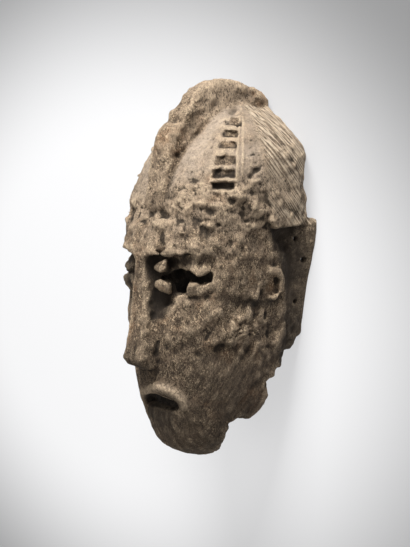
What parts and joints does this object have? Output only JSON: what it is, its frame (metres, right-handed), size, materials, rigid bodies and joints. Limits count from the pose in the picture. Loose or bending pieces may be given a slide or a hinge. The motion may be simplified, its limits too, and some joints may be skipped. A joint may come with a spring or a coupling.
{
  "type": "carved wooden face mask",
  "caption": "Hollow carved wooden face mask with a tall crest, long straight nose, pierced eyes and mouth, small ears and lashing holes in the back plates, deeply weathered.",
  "frame": {"origin": "under the middle of the mask's box, on the plane of its back edge, which it lies on", "axes": "+Z out of the face, which is up as it lies; +Y from the chin to the crest; +X to the mask's own left"},
  "size_m": [0.192, 0.438, 0.203],
  "materials": {
    "weathered_wood": "dry grey-brown patina over eroded grain, paler on the hair, darker in the hollows"
  },
  "bodies": {
    "root": {"mask": "weathered_wood"}
  },
  "joints": []
}
